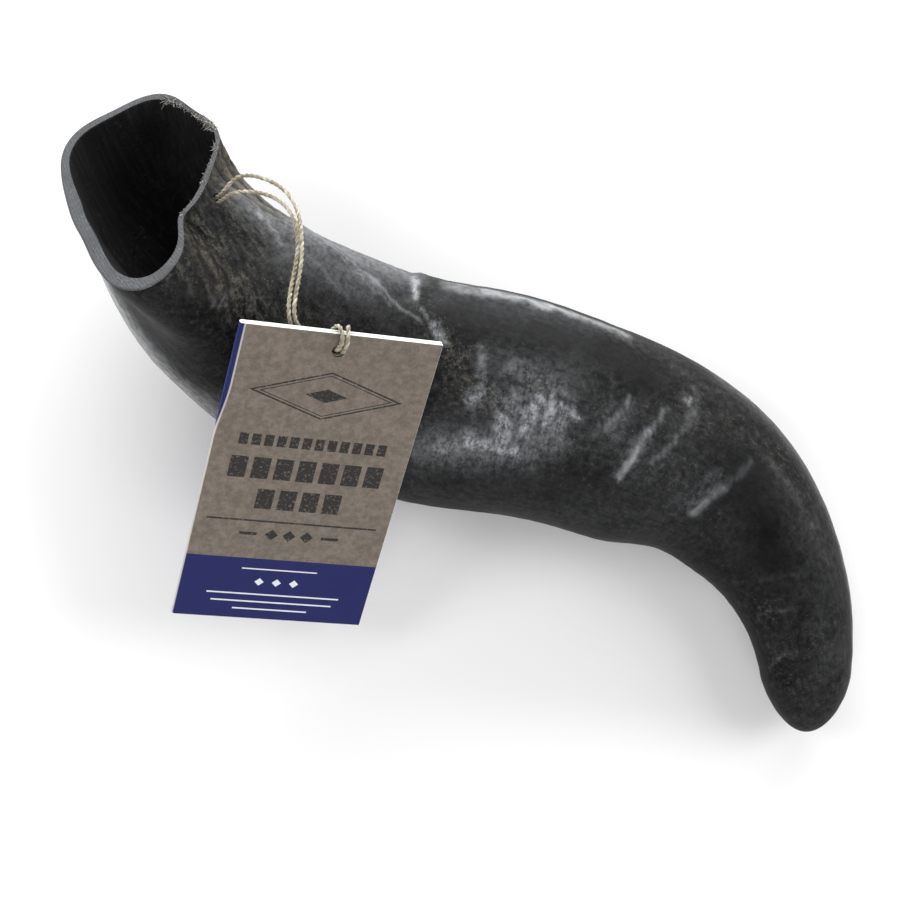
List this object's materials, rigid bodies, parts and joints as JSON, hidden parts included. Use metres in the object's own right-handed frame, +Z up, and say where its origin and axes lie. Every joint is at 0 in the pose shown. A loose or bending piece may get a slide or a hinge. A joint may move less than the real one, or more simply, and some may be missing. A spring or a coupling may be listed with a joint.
{
  "type": "buffalo horn",
  "caption": "Hollow buffalo horn, sawn off flat at its base and lying on its side, with a folded card tag on a loop of twine through a hole near the cut.",
  "frame": {"origin": "on the surface that the horn lies on, under the middle of the box round the horn and its tag", "axes": "+X from the sawn base towards the tip's side of the curve, +Y towards the horn's outer curve and its sawn base, +Z up from the surface"},
  "size_m": [0.2688, 0.2184, 0.0967],
  "materials": {
    "horn": "natural horn, charcoal, satin with dull scuffed patches",
    "twine": "jute, undyed, hairy",
    "card": "uncoated kraft face, dark blue band, white cut edges"
  },
  "bodies": {
    "root": {"horn": "horn", "tag": "card", "twine": "twine", "twine_knot": "twine"}
  },
  "joints": []
}
